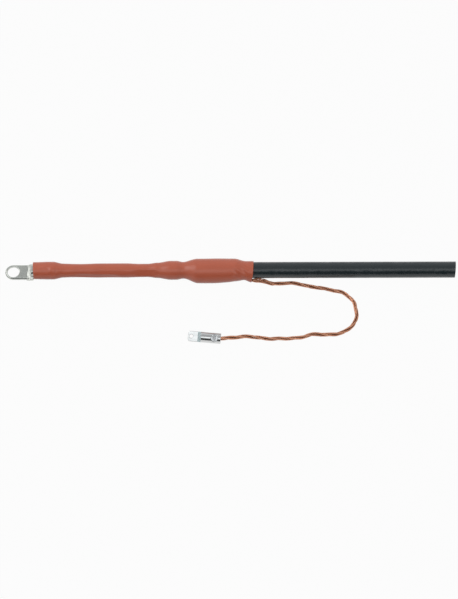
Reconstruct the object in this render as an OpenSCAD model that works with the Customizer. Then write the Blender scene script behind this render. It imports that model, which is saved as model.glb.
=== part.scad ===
// Termination of a single-core medium-voltage cable, lying along X.
// A compression lug is pressed onto the conductor, a red anti-tracking tube is shrunk over the
// bared core, and the cable's own screen wires are folded back over the sheath, gathered
// into an earth lead and ended in a small screw lug.
// The origin is the centre of the terminal lug's bolt hole, on the palm's contact face.
// X runs along the cable, away from the lug, and Z out of the palm's upper face.

/* [Terminal lug] */
// Diameter of the bolt hole, for an M16 bolt
lug_hole_d = 17; // [13:0.5:18]
// Width of the palm after trimming
lug_palm_w = 22; // [21:0.5:24]
// Thickness of the flattened palm
lug_palm_t = 4.5; // [3.5:0.1:6]
// Distance from the bolt hole to the shoulder
lug_palm_l = 19; // [16:0.5:28]
// Width of the flattened shoulder
lug_shoulder_w = 24.5; // [24:0.5:28]
// Length of the pressed ramp from the palm to the barrel
lug_ramp_l = 10; // [7:0.5:14]
// Round barrel left bare between the ramp and the tube
lug_bare_l = 2.5; // [0:0.5:4]
// Outside diameter of the barrel
lug_barrel_d = 15.5; // [14:0.5:18]
// Length of the round barrel
lug_barrel_l = 33; // [26:1:44]
// Depth of the conductor's bore
lug_bore_l = 28; // [20:1:40]
// Bevel round the palm's edges
lug_bevel = 0.7; // [0.3:0.1:1.2]
// Number of hexagonal crimps
crimp_count = 3; // [1:1:3]
// Width of one crimp
crimp_w = 5; // [3:0.5:7]
// Depth of the crimp's flats below the barrel
crimp_depth = 0.9; // [0.3:0.1:1.2]

/* [Cable] */
// Diameter of the stranded conductor
conductor_d = 7; // [6:0.1:7.6]
// Strands round the central one
strand_count = 6; // [5:1:8]
// Thickness of the conductor screen
conductor_screen_t = 0.5; // [0.3:0.1:0.8]
// Thickness of the cross-linked insulation
insulation_t = 3.4; // [3:0.1:4]
// Thickness of the extruded insulation screen
insulation_screen_t = 0.5; // [0.3:0.1:0.8]
// Thickness of the bedding tape under the wires
bedding_t = 0.25; // [0.15:0.05:0.4]
// Diameter of one copper screen wire
wire_d = 1; // [0.8:0.05:1.1]
// Number of copper screen wires
wire_count = 20; // [16:1:22]
// Thickness of the copper counter tape
helix_t = 0.12; // [0.1:0.01:0.2]
// Width of the copper counter tape
helix_w = 8; // [5:0.5:12]
// Lay length of the copper counter tape
helix_pitch = 90; // [70:5:140]
// Thickness of the separator tape
separator_t = 0.18; // [0.1:0.02:0.3]
// Wall of the outer sheath
sheath_t = 1.85; // [1.6:0.05:2.5]
// Length of sheathed cable left beyond the tube
cable_stub_l = 287; // [150:1:400]
// Angle by which the saw cut is off square
saw_angle = 4; // [0:0.5:6]

/* [Cable preparation] */
// Gap between the lug and the insulation
conductor_gap = 5; // [3:0.5:8]
// Bared insulation from the lug's gap to the insulation screen
bared_l = 156; // [130:1:220]
// Bared insulation screen up to the sheath
screen_bared_l = 33; // [30:1:45]
// Depth by which the sheath is roughened under the tube
rough_depth = 0.25; // [0.2:0.05:0.4]

/* [Stress control] */
// Wall of the stress tube on the insulation
stress_tube_t = 1.9; // [1.4:0.1:2.4]
// Length of the stress tube on the insulation
stress_lap_l = 25; // [22:1:40]
// Length of the stress tube on the insulation screen
stress_tail_l = 20; // [18:1:24]
// Height of the mastic over the insulation screen's edge
stress_build = 2.9; // [1.5:0.1:3.5]
// Drop in height behind the stress mastic
neck_drop = 1.5; // [0.6:0.1:1.6]

/* [Anti-tracking tube] */
// Wall of the tube where it has shrunk onto the insulation
tube_wall = 1.9; // [1.5:0.1:2.5]
// Length of the tube
tube_l = 312; // [300:1:330]
// Extra wall in the middle of the bared core
tube_swell = 0.8; // [0:0.05:0.8]
// Mastic round the lug's barrel
lug_build = 3.5; // [2.5:0.1:4.5]
// Fall in height of that mastic towards the palm
lug_taper = 0.55; // [0:0.05:1]
// Flare of the tube's lip over the earth lead
lip_flare = 2.6; // [2.2:0.1:3.4]
// Slant of the tube's two cut ends
tube_slant = 0.6; // [0:0.1:1]

/* [Sheath seal] */
// Mastic between the sheath and the folded wires
inner_seal_t = 1; // [0.8:0.05:1.4]
// Mastic over the folded wires
outer_seal_t = 2.1; // [1.6:0.1:2.6]
// Length of the tube on the sheath, past the seal
collar_l = 21; // [18:0.5:26]
// Extra height of the seal over the gathered wires
wire_lobe = 2.3; // [1:0.1:3]
// Wire of the binding that holds the folded wires
binding_d = 0.9; // [0.6:0.1:1]
// Turns of the binding
binding_turns = 3; // [2:1:4]

/* [Earth lead] */
// Diameter of the twisted lead
lead_d = 5.9; // [5.5:0.1:6.3]
// Side on which the lead leaves the tube, from +Y towards +Z
lead_side = 205; // [195:1:215]

/* [Earth lug] */
// Diameter of the lug's round body
earth_body_d = 15; // [13.5:0.5:18]
// Length of the lug's round body
earth_body_l = 28; // [26:1:40]
// Length of the cone between the body and the palm
earth_cone_l = 4.2; // [3:0.1:5.5]
// Length of the palm past the cone
earth_palm_l = 14.2; // [13:0.1:22]
// Thickness of the palm
earth_palm_t = 3.5; // [2.5:0.1:5]
// Radius of the palm's corners
earth_corner_r = 3.2; // [1:0.1:5]
// Diameter of the palm's hole, for an M5 bolt
earth_hole_d = 5.3; // [4.3:0.1:6.4]
// Distance from the palm's tip to its hole
earth_hole_inset = 4.7; // [4.5:0.1:8]
// Depth of the bore for the lead
earth_bore_l = 22; // [20:1:24]
// Diameter of the shear bolt
earth_bolt_d = 10; // [8:0.5:10]
// Distance from the lug's mouth to the shear bolt
earth_bolt_inset = 9; // [7:0.5:12]
// Roll of the lug about its own axis
earth_roll = 25; // [0:1:45]

/* [Hidden] */

$fn = 96;
// Gap drawn between two pieces that lie on each other
slip = 0.05;
// Overlap between two bodies that are joined into one piece
joint = 0.5;
// Gap between facetted faces that lie on each other
facet_slip = 0.12;

// Radii of the cable's layers
axis_z = lug_barrel_d / 2;
conductor_r = conductor_d / 2;
conductor_screen_r = conductor_r + conductor_screen_t;
insulation_r = conductor_screen_r + insulation_t;
insulation_screen_r = insulation_r + insulation_screen_t;
bedding_r = insulation_screen_r + bedding_t;
wire_ring_r = bedding_r + slip + wire_d / 2;
helix_in_r = wire_ring_r + wire_d / 2 + facet_slip;
separator_in_r = helix_in_r + helix_t + slip;
separator_r = separator_in_r + separator_t;
sheath_r = separator_r + sheath_t;
rough_r = sheath_r - rough_depth;

// Places along the cable
lug_barrel_start = lug_palm_l + lug_ramp_l;
lug_end = lug_barrel_start + lug_barrel_l;
insulation_start = lug_end + conductor_gap;
screen_edge = insulation_start + bared_l;
sheath_start = screen_edge + screen_bared_l;
tube_start = lug_barrel_start + slip;
tube_end = tube_start + tube_l;
rough_end = tube_end + tube_slant + slip;
cable_end = tube_end + cable_stub_l;
stress_start = screen_edge - stress_lap_l;
stress_end = screen_edge + stress_tail_l;
bedding_start = stress_end + 2;
seal_start = sheath_start + 1;
seal_end = tube_end - collar_l;
seal_l = seal_end - seal_start;

// Folded screen wires
fold_x = sheath_start - 2;
wire_over_r = rough_r + inner_seal_t + facet_slip + wire_d / 2;
wire_over_top = wire_over_r + wire_d / 2;
wire_span = (wire_count - 1) * 4.8;
wire_end = tube_end - 10;
binding_start = sheath_start + 4;
binding_pitch = binding_d + slip;
binding_end = binding_start + binding_turns * binding_pitch;

// Earth lead, as points from the tube's end on the cable's axis
lead_r = lead_d / 2;
lead_route = [
    [14, -13, -8.5], [19, -13.5, -10.5], [25, -15, -12.5], [30, -15.5, -14], [36, -14.5, -14.6],
    [44, -13.5, -14.6], [53, -13.5, -14.6], [64, -14.5, -14.6], [73, -17, -14.6], [81, -19.5, -14.6],
    [93, -20.5, -14.6], [104, -23.5, -14.6], [115, -25.5, -14.6], [124, -27.5, -14.6],
    [132, -31.5, -14.6], [138, -37, -14.6], [142, -43, -14.6], [145, -50, -14.6], [146, -59.5, -14.6],
    [146, -69, -14.6], [143, -76, -14.6], [138, -82, -14.6], [133, -87, -14.6], [125, -91.5, -14.6],
    [114, -94, -14.6], [103, -94.5, -14.6], [92, -93.5, -14.6], [83, -93.5, -14.6], [75, -96, -14.6],
    [66, -99, -14.6], [52, -100, -14.6], [35, -100, -14.6], [18, -100.5, -14.6], [7, -98.5, -14.6],
    [-5, -96.5, -14.3], [-16, -97.5, -13.3], [-27, -99.5, -12], [-37, -101, -10.6], [-46, -102, -10]
];
lead_sides = 10;
// Turn of the earth lug about Z, so that the lead runs straight into its bore
earth_yaw = -5.5;
earth_mouth = [tube_end, 0, axis_z] + lead_route[len(lead_route) - 1];
earth_bore_r = lead_r + 0.3;
// The palm is milled from the same bar as the body
earth_palm_w = sqrt(pow(earth_body_d, 2) - pow(earth_palm_t, 2)) - 0.1;
earth_cone_end = -earth_body_l - earth_cone_l;
earth_tip = earth_cone_end - earth_palm_l;

function ease(t) = let (c = max(0, min(1, t))) c * c * (3 - 2 * c);
function rise(x, from, to) = ease((x - from) / (to - from));
function mix(a, b, t) = a + (b - a) * t;
function unit(v) = v / norm(v);
function on_cable(x, r, side) = [x, r * cos(side), axis_z + r * sin(side)];
function steps(from, to, count) = [for (i = [0:count - 1]) mix(from, to, i / count)];
// Angle between a side of the cable and the side on which the lead leaves
function off_lead(side) = abs(((side - lead_side + 540) % 360) - 180);

// Height of what the anti-tracking tube has shrunk onto, round the whole cable
neck_r = insulation_r + slip + stress_tube_t + stress_build - neck_drop;
bulge_r = wire_over_top + slip + outer_seal_t;
collar_r = sheath_r + slip;
function lug_step(x) = 1 - 0.73 * rise(x, lug_end - 5.5, insulation_start + 4)
    - 0.27 * rise(x, lug_end - 1, insulation_start + 26);
function seat_r(x) =
    insulation_r + slip
    + (axis_z + lug_build - insulation_r) * lug_step(x)
    - lug_taper * (1 - rise(x, tube_start, lug_end - 10))
    + stress_tube_t * rise(x, stress_start - 7, stress_start + 7)
    + stress_build * rise(x, stress_start + 7, screen_edge + 1)
    - neck_drop * rise(x, screen_edge + 9, stress_end - 2)
    + (bulge_r - neck_r) * rise(x, sheath_start - 15, sheath_start + 6)
    - (bulge_r - collar_r) * rise(x, seal_end - 6, seal_end + 11);

// Extra height on the side where the wires are gathered and the lead leaves
band_lobe = (wire_over_top + 2 * facet_slip - collar_r) * 1.12;
function lobe(x, away) =
    wire_lobe * rise(x, sheath_start - 10, sheath_start + 8)
        * (1 - rise(x, seal_start + 0.3 * seal_l, seal_end + 4)) * exp(-pow(away / 75, 2))
    + band_lobe * rise(x, seal_end - 8, seal_end + 10) * exp(-pow(away / 82, 4))
    + lip_flare * rise(x, tube_end - 10, tube_end) * exp(-pow(away / 35, 2));

// The tube's wall keeps its cross-section as it shrinks, so it is thinner where it is wider
wall_section = pow(insulation_r + tube_wall, 2) - pow(insulation_r, 2);
function swell(x) = tube_swell
    * rise(x, insulation_start + 0.17 * bared_l, insulation_start + 0.36 * bared_l)
    * (1 - rise(x, stress_start - 0.25 * bared_l, stress_start - 0.11 * bared_l));
function tube_in_r(x, side) = seat_r(x) + lobe(x, off_lead(side));
function tube_out_r(x, side) = sqrt(pow(tube_in_r(x, side), 2) + wall_section) + swell(x);
tube_sides = 32;
tube_places = concat(
    steps(tube_start, insulation_start + 8, 12),
    steps(insulation_start + 8, stress_start - 10, 10),
    steps(stress_start - 10, sheath_start + 10, 20),
    steps(sheath_start + 10, seal_end - 6, 5),
    steps(seal_end - 6, tube_end, 10),
    [tube_end]
);
// Those places between two others, with the two at the ends
function tube_places_between(from, to) =
    concat([from], [for (x = tube_places) if (x > from + 0.5 && x < to - 0.5) x], [to]);
// Cut ends are a little off square, and the slant dies out along the tube
slant_reach = collar_l;
function end_slant(x, side) = tube_slant * cos(side - lead_side)
    * (1 - rise(x, tube_start, tube_start + slant_reach) - rise(x, tube_end - slant_reach, tube_end));

// Round stress tube under the anti-tracking tube, with a wall that thins in the same way
stress_section = pow(insulation_r + stress_tube_t, 2) - pow(insulation_r, 2);
function stress_out_r(x) = seat_r(x) - facet_slip;
function stress_in_r(x) = max(insulation_r + slip, sqrt(pow(stress_out_r(x), 2) - stress_section));

// Revolves a profile of [radius, x] points about the cable's axis
module turned(profile) {
    translate([0, 0, axis_z]) rotate([90, 0, 90]) rotate_extrude() polygon(profile);
}

// Tube round the cable's axis
module layer(from, to, in_r, out_r) {
    turned([[in_r, from], [in_r, to], [out_r, to], [out_r, from]]);
}

// Cuts the cable's end as the saw left it
module sawn() {
    reach = 2 * sheath_r;
    difference() {
        children();
        translate([cable_end, 0, axis_z]) rotate([0, 0, -saw_angle])
            translate([0, -reach, -reach]) cube(2 * reach);
    }
}
// Length past the saw cut that the layers have before they are cut
saw_spare = 3;
function sawn_x(point) = [cable_end + point[1] * tan(saw_angle), point[1], point[2]];

// Two triangles between neighbouring points a, b of one ring and c, d of the next
function patch(a, b, c, d) = [[a, c, b], [b, c, d]];

// Skin over a row of rings, each a closed list of points, with flat ends
module skin(rings) {
    n = len(rings[0]);
    last = (len(rings) - 1) * n;
    sides = [for (i = [0:len(rings) - 2], k = [0:n - 1])
        each patch(i * n + k, i * n + (k + 1) % n, (i + 1) * n + k, (i + 1) * n + (k + 1) % n)];
    polyhedron([for (ring = rings) each ring],
        concat([[for (k = [0:n - 1]) k]], sides, [[for (k = [n - 1:-1:0]) last + k]]));
}

// Hollow skin between an outer and an inner row of rings
module shell(outer, inner) {
    n = len(outer[0]);
    m = len(outer);
    far = m * n;
    function next(k) = (k + 1) % n;
    walls = [for (i = [0:m - 2], k = [0:n - 1]) each concat(
        patch(i * n + k, i * n + next(k), (i + 1) * n + k, (i + 1) * n + next(k)),
        patch(far + i * n + next(k), far + i * n + k,
            far + (i + 1) * n + next(k), far + (i + 1) * n + k))];
    ends = [for (k = [0:n - 1]) each concat(
        patch(far + k, far + next(k), k, next(k)),
        patch((m - 1) * n + k, (m - 1) * n + next(k),
            far + (m - 1) * n + k, far + (m - 1) * n + next(k)))];
    polyhedron([for (ring = concat(outer, inner)) each ring], concat(walls, ends));
}

// Compression lug: a tube pressed flat at one end, trimmed, drilled and crimped
module lug_palm() {
    half = lug_palm_w / 2;
    edge = [[half - lug_bevel, 0], [half, lug_bevel], [half, lug_palm_t - lug_bevel],
        [half - lug_bevel, lug_palm_t]];
    rotate_extrude() polygon(concat([[0, 0]], edge, [[0, lug_palm_t]]));
    rotate([90, 0, 90]) linear_extrude(lug_palm_l + lug_ramp_l / 2)
        polygon(concat(edge, [for (i = [3:-1:0]) [-edge[i][0], edge[i][1]]]));
}

module lug_shoulder() {
    half = lug_shoulder_w / 2 - lug_palm_t / 2;
    flare = (lug_shoulder_w - lug_palm_w) / 2;
    difference() {
        translate([lug_palm_l - flare, 0, lug_palm_t / 2]) rotate([90, 0, 90])
            linear_extrude(lug_ramp_l + flare - joint) {
                square([2 * half, lug_palm_t], center = true);
                for (y = [-half, half]) translate([y, 0]) circle(d = lug_palm_t);
            }
        for (s = [-1, 1]) translate([lug_palm_l - flare, s * lug_palm_w / 2, -joint])
            rotate([0, 0, s * 45]) translate([-2 * flare, s > 0 ? 0 : -2 * flare, 0])
                cube([4 * flare, 2 * flare, lug_palm_t + 2 * joint]);
    }
}

// Side view of the press ramp: an S-curve from the palm up to the top of the barrel
module lug_barrel() {
    from = lug_palm_l + 1;
    to = lug_barrel_start - lug_bare_l;
    ramp = [for (i = [0:14]) let (t = i / 14)
        [mix(from, to, t), mix(lug_palm_t - 0.4, lug_barrel_d, ease(t))]];
    intersection() {
        translate([from, 0, axis_z]) rotate([0, 90, 0])
            cylinder(d = lug_barrel_d, h = lug_end - from);
        translate([0, lug_barrel_d, 0]) rotate([90, 0, 0]) linear_extrude(2 * lug_barrel_d)
            polygon(concat(ramp, [[lug_end + 1, lug_barrel_d], [lug_end + 1, 0], [from, 0]]));
    }
}

// What one hexagonal die takes off the barrel
module crimp(x) {
    flats = lug_barrel_d - 2 * crimp_depth;
    translate([x, 0, axis_z]) rotate([0, 90, 0]) difference() {
        cylinder(d = lug_barrel_d + 2, h = crimp_w);
        translate([0, 0, -1]) rotate([0, 0, 30])
            cylinder(d = flats / cos(30), h = crimp_w + 2, $fn = 6);
    }
}

module terminal_lug() {
    crimp_pitch = (lug_barrel_l - 6) / crimp_count;
    color([0.74, 0.75, 0.71]) difference() {
        union() {
            lug_palm();
            lug_shoulder();
            lug_barrel();
        }
        translate([0, 0, -1]) cylinder(d = lug_hole_d, h = lug_palm_t + 2);
        translate([lug_end - lug_bore_l, 0, axis_z]) rotate([0, 90, 0])
            cylinder(r = conductor_r + slip, h = lug_bore_l + 1);
        for (i = [0:crimp_count - 1])
            crimp(lug_end - 4 - crimp_w - i * crimp_pitch);
    }
}

// Sealing mastic round the barrel, in the gap and over the insulation's end
module lug_mastic() {
    end = insulation_start + 14;
    over = [for (x = tube_places_between(tube_start + 1, end)) [seat_r(x) - facet_slip, x]];
    color([0.55, 0.16, 0.12]) turned(concat(over, [
        [insulation_r + slip, end], [insulation_r + slip, insulation_start - slip],
        [conductor_r + slip, insulation_start - slip], [conductor_r + slip, lug_end + slip],
        [axis_z + slip, lug_end + slip], [axis_z + slip, tube_start + 1]
    ]));
}

// Compacted strands: a round one in the middle and shaped ones round it
module conductor_strands() {
    core_r = conductor_r / 3;
    gap = 0.03;
    start = lug_end - lug_bore_l + slip;
    color([0.78, 0.78, 0.8]) sawn() translate([start, 0, axis_z]) rotate([90, 0, 90])
        linear_extrude(cable_end + saw_spare - start) {
            circle(r = core_r - gap, $fn = 32);
            for (i = [0:strand_count - 1]) rotate(i * 360 / strand_count) intersection() {
                difference() {
                    circle(r = conductor_r);
                    circle(r = core_r, $fn = 32);
                }
                wedge = 180 / strand_count;
                polygon([[gap / sin(wedge), 0],
                    [gap / sin(wedge) + conductor_d * cos(wedge), conductor_d * sin(wedge)],
                    [2 * conductor_d, 0],
                    [gap / sin(wedge) + conductor_d * cos(wedge), -conductor_d * sin(wedge)]]);
            }
        }
}

module conductor_screen() {
    color([0.07, 0.07, 0.08]) sawn()
        layer(insulation_start, cable_end + saw_spare, conductor_r + slip / 2, conductor_screen_r);
}

// Insulation, pencilled at the lug end
module xlpe_insulation() {
    pencil = 1;
    color([0.92, 0.91, 0.86]) sawn() turned([
        [conductor_screen_r, insulation_start], [insulation_r - pencil, insulation_start],
        [insulation_r, insulation_start + pencil], [insulation_r, cable_end + saw_spare],
        [conductor_screen_r, cable_end + saw_spare]
    ]);
}

module insulation_screen() {
    color([0.09, 0.09, 0.1]) sawn()
        layer(screen_edge, cable_end + saw_spare, insulation_r, insulation_screen_r);
}

module bedding_tape() {
    color([0.25, 0.25, 0.26]) sawn()
        layer(bedding_start, cable_end + saw_spare, insulation_screen_r, bedding_r);
}

// One screen wire: under the sheath, back over its edge and round to the side of the lead
function wire_ring(centre_x, centre_r, side, turn) = [for (k = [0:5])
    let (out = wire_d / 2 * cos(60 * k), along = wire_d / 2 * sin(60 * k))
    on_cable(centre_x + out * sin(turn), centre_r + out * cos(turn), side)
        + along * [0, -sin(side), cos(side)]];

module screen_wire(start_side) {
    fold_r = (wire_over_r - wire_ring_r) / 2;
    fold_mid = (wire_over_r + wire_ring_r) / 2;
    away = start_side - lead_side;
    end_away = away * wire_span / 360 * wire_count / (wire_count - 1);
    count = ceil(abs(away - end_away) / 12);
    skin(concat(
        [[for (p = wire_ring(cable_end, wire_ring_r, start_side, 180)) sawn_x(p)]],
        [for (i = [0:5]) let (a = 180 - 36 * i)
            wire_ring(fold_x - fold_r * sin(a), fold_mid + fold_r * cos(a), start_side, -a)],
        [wire_ring(binding_end + 1, wire_over_r, start_side, 0)],
        [for (i = [1:count]) let (t = i / count)
            wire_ring(mix(binding_end + 1, wire_end, t), wire_over_r, lead_side + mix(away, end_away, t), 0)]
    ));
}

module screen_wires() {
    color([0.72, 0.43, 0.28]) for (i = [0:wire_count - 1])
        screen_wire(lead_side - 180 + (i + 0.5) * 360 / wire_count);
}

// Copper tape wound the other way over the wires
module counter_helix() {
    from = sheath_start + helix_w;
    to = cable_end - helix_w;
    turn_steps = 24;
    count = floor((to - from) / helix_pitch * turn_steps);
    out_r = helix_in_r + helix_t;
    color([0.75, 0.46, 0.3]) skin([for (i = [0:count])
        let (x = from + i * helix_pitch / turn_steps, side = i * 360 / turn_steps)
        [on_cable(x - helix_w / 2, helix_in_r, side), on_cable(x + helix_w / 2, helix_in_r, side),
            on_cable(x + helix_w / 2, out_r, side), on_cable(x - helix_w / 2, out_r, side)]]);
}

module separator_tape() {
    color([0.85, 0.85, 0.82]) sawn()
        layer(sheath_start, cable_end + saw_spare, separator_in_r, separator_r);
}

// Sheath, roughened where the tube and the seal lie on it
module outer_sheath() {
    color([0.2, 0.22, 0.23]) sawn() turned([
        [separator_r, sheath_start], [rough_r, sheath_start], [rough_r, rough_end],
        [sheath_r, rough_end], [sheath_r, cable_end + saw_spare],
        [separator_r, cable_end + saw_spare]
    ]);
}

// Mastic that fills the step at the insulation screen's edge, up to the stress tube
stress_places = tube_places_between(stress_start, stress_end);
module stress_mastic() {
    over = [for (x = stress_places)
        let (r = stress_in_r(x) - slip, bare_r = x < screen_edge ? insulation_r : insulation_screen_r)
        if (r > bare_r + 0.2) [r, x]];
    from = over[0][1];
    to = over[len(over) - 1][1];
    color([0.86, 0.68, 0.2]) turned(concat(over, [
        [insulation_screen_r + slip, to], [insulation_screen_r + slip, screen_edge - slip],
        [insulation_r + slip, screen_edge - slip], [insulation_r + slip, from]
    ]));
}

module stress_control_tube() {
    last = len(stress_places) - 1;
    color([0.1, 0.1, 0.11]) turned(concat(
        [for (x = stress_places) [stress_out_r(x), x]],
        [for (i = [last:-1:0]) [stress_in_r(stress_places[i]), stress_places[i]]]
    ));
}

module inner_seal() {
    color([0.5, 0.15, 0.11]) layer(seal_start, seal_end + 4, rough_r + slip, rough_r + inner_seal_t);
}

// Turns of tinned wire round the folded screen wires
module binding_wire() {
    color([0.7, 0.7, 0.68]) for (i = [0:binding_turns - 1])
        translate([binding_start + (i + 0.5) * binding_pitch, 0, axis_z]) rotate([90, 0, 90])
            rotate_extrude() translate([wire_over_top + slip + binding_d / 2, 0])
                circle(d = binding_d, $fn = 24);
}

// Mastic wrapped over the folded wires, which gives the tube its bulge
module outer_seal() {
    recess_end = binding_end + binding_d;
    places = concat([seal_start + 2, recess_end], steps(recess_end + 1, seal_end, 12), [seal_end]);
    function bore_r(x) = wire_over_top + facet_slip + (x <= recess_end ? binding_d + slip : 0);
    outer = [for (x = places) [for (k = [0:tube_sides - 1]) let (side = 360 * k / tube_sides)
        on_cable(x, tube_in_r(x, side) - facet_slip, side)]];
    inner = [for (x = places) [for (k = [0:tube_sides - 1])
        on_cable(x, bore_r(x), 360 * k / tube_sides)]];
    color([0.5, 0.15, 0.11]) shell(outer, inner);
}

module anti_tracking_tube() {
    outer = [for (x = tube_places) [for (k = [0:tube_sides - 1]) let (side = 360 * k / tube_sides)
        on_cable(x + end_slant(x, side), tube_out_r(x, side), side)]];
    inner = [for (x = tube_places) [for (k = [0:tube_sides - 1]) let (side = 360 * k / tube_sides)
        on_cable(x + end_slant(x, side), tube_in_r(x, side), side)]];
    color([0.65, 0.32, 0.24]) shell(outer, inner);
}

// Earth lead: the flat band of wires under the tube gathers into a round bundle,
// which lies along the route and ends in the earth lug's bore
lead_points = concat(
    [for (p = lead_route) p + [tube_end, 0, axis_z]],
    [earth_mouth - (earth_bore_l - 1) * [cos(earth_yaw), sin(earth_yaw), 0]]
);
lead_turn = 180 - lead_side;
function lead_ring(i) =
    let (last = len(lead_points) - 1)
    let (along = unit(lead_points[min(i + 1, last)] - lead_points[max(i - 1, 0)]))
    let (across = unit(cross(along, [0, 0, 1])))
    let (up = cross(across, along))
    [for (k = [0:lead_sides - 1]) let (a = lead_turn - 360 * k / lead_sides)
        lead_points[i] + lead_r * (cos(a) * across + sin(a) * up)];
// The band lifts off the sheath on its way out of the tube
band_lift = 0.8;
function band_ring(x) =
    let (middle_r = wire_over_r + band_lift * rise(x, wire_end, tube_end))
    [for (k = [0:lead_sides - 1]) let (a = 360 * k / lead_sides)
        on_cable(x, middle_r + wire_d / 2 * cos(a), lead_side + (wire_span / 2 + 2) * sin(a))];

module earth_lead() {
    gathers = 5;
    start = lead_points[0][0];
    round_start = lead_ring(0);
    gather = [for (i = [0:gathers - 1]) let (t = i / gathers, x = mix(wire_end + slip, start, t))
        let (band = band_ring(x))
        [for (k = [0:lead_sides - 1]) let (p = mix(band[k], round_start[k], ease(t)))
            [mix(x, round_start[k][0], t), p[1], p[2]]]];
    color([0.72, 0.43, 0.28])
        skin(concat(gather, [for (i = [0:len(lead_points) - 1]) lead_ring(i)]));
}

// Earth lug in its own frame: the bore's mouth at the origin, the palm towards -X
module earth_lug_place() {
    translate(earth_mouth) rotate([0, 0, earth_yaw]) rotate([earth_roll, 0, 0]) children();
}

module earth_palm() {
    half = earth_palm_w / 2 - earth_corner_r;
    translate([0, 0, -earth_palm_t / 2]) linear_extrude(earth_palm_t) {
        translate([earth_tip + earth_corner_r, -earth_palm_w / 2])
            square([-earth_tip - earth_corner_r - earth_body_l + 1, earth_palm_w]);
        translate([earth_tip, -half]) square([2 * earth_corner_r, 2 * half]);
        for (s = [-1, 1]) translate([earth_tip + earth_corner_r, s * half])
            circle(r = earth_corner_r);
    }
}

module earth_lug() {
    mouth_bevel = 0.8;
    color([0.77, 0.78, 0.78]) earth_lug_place() difference() {
        union() {
            rotate([0, -90, 0]) cylinder(d = earth_body_d, h = earth_body_l);
            translate([-earth_body_l, 0, 0]) rotate([0, -90, 0])
                cylinder(d1 = earth_body_d, d2 = earth_body_d * 0.42, h = earth_cone_l);
            earth_palm();
        }
        translate([-earth_bore_l, 0, 0]) rotate([0, 90, 0])
            cylinder(r = earth_bore_r, h = earth_bore_l + 1);
        translate([-mouth_bevel, 0, 0]) rotate([0, 90, 0])
            cylinder(r1 = earth_bore_r, r2 = earth_bore_r + 2 * mouth_bevel, h = 2 * mouth_bevel);
        translate([-earth_bolt_inset, 0, lead_r - 0.4]) cylinder(d = earth_bolt_d, h = earth_body_d);
        translate([earth_tip + earth_hole_inset, 0, -earth_palm_t])
            cylinder(d = earth_hole_d, h = 2 * earth_palm_t);
    }
}

// Shear bolt after its head has broken off, with the broken neck in the middle
module earth_lug_bolt() {
    seat = lead_r + slip;
    top = earth_body_d / 2 - 1.6;
    neck_r = earth_bolt_d * 0.17;
    shank_r = earth_bolt_d / 2 - slip;
    color([0.7, 0.71, 0.72]) earth_lug_place() translate([-earth_bolt_inset, 0, 0])
        rotate_extrude() polygon([
            [0, seat], [shank_r - 1, seat], [shank_r, seat + 1], [shank_r, top - 0.5],
            [shank_r - 0.5, top], [neck_r + 1, top - 0.4], [neck_r, top + 0.5], [0, top + 0.3]
        ]);
}

terminal_lug();
lug_mastic();
conductor_strands();
conductor_screen();
xlpe_insulation();
insulation_screen();
bedding_tape();
screen_wires();
counter_helix();
separator_tape();
outer_sheath();
stress_mastic();
stress_control_tube();
inner_seal();
binding_wire();
outer_seal();
anti_tracking_tube();
earth_lead();
earth_lug();
earth_lug_bolt();
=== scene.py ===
import math

import bpy
import numpy as np
from mathutils import Matrix, Vector


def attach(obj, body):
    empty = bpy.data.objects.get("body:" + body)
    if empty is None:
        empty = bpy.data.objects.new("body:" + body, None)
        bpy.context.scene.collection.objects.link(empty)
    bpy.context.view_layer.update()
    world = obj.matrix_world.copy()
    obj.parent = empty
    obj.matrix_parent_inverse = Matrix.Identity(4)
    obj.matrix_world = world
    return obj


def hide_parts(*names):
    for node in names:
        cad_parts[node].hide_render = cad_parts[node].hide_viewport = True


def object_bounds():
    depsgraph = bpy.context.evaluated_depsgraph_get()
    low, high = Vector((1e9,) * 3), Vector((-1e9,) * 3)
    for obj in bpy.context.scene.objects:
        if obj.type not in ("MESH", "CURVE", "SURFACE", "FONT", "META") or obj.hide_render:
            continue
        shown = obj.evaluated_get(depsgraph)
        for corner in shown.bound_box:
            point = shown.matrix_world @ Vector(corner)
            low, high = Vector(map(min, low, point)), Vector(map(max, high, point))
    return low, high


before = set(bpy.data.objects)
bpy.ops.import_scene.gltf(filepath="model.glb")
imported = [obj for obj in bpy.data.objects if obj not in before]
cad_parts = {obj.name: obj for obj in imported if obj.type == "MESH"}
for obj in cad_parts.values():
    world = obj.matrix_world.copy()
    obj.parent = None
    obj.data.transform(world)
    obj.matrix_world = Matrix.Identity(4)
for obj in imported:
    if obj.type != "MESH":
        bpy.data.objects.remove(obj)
cad_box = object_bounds()
bpy.context.scene.view_settings.view_transform = "Standard"


# Place of the object: a white table top, a long lens looking down at 65 degrees from the lead's
# side, soft lamps high in front and to the left, and a pale room, brighter behind, dark low in front.
# Sizes are in millimetres until a mesh is made, and metres from there on.
MM = 0.001
axis_z = 7.75
floor_z = cad_box[0][2]


def placed(name, data):
    """An object in the scene, from its data."""
    made = bpy.data.objects.new(name, data)
    bpy.context.collection.objects.link(made)
    return made


photo_h = 599
mm_per_px = 1.412
camera_el = math.radians(65)
camera_roll = math.radians(-0.15)
camera_far = 3.0
sensor_h = 24
target = Vector((306.6, -46.0, axis_z)) * MM
camera_data = bpy.data.cameras.new("camera")
camera_data.sensor_fit = "VERTICAL"
camera_data.sensor_height = sensor_h
camera_data.lens = sensor_h * camera_far / (photo_h * mm_per_px * MM)
camera = placed("camera", camera_data)
camera.location = target + camera_far * Vector((0, -math.cos(camera_el), math.sin(camera_el)))
camera.rotation_euler = (Matrix.Rotation(math.pi / 2 - camera_el, 3, "X")
                         @ Matrix.Rotation(camera_roll, 3, "Z")).to_euler()
bpy.context.scene.camera = camera


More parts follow.
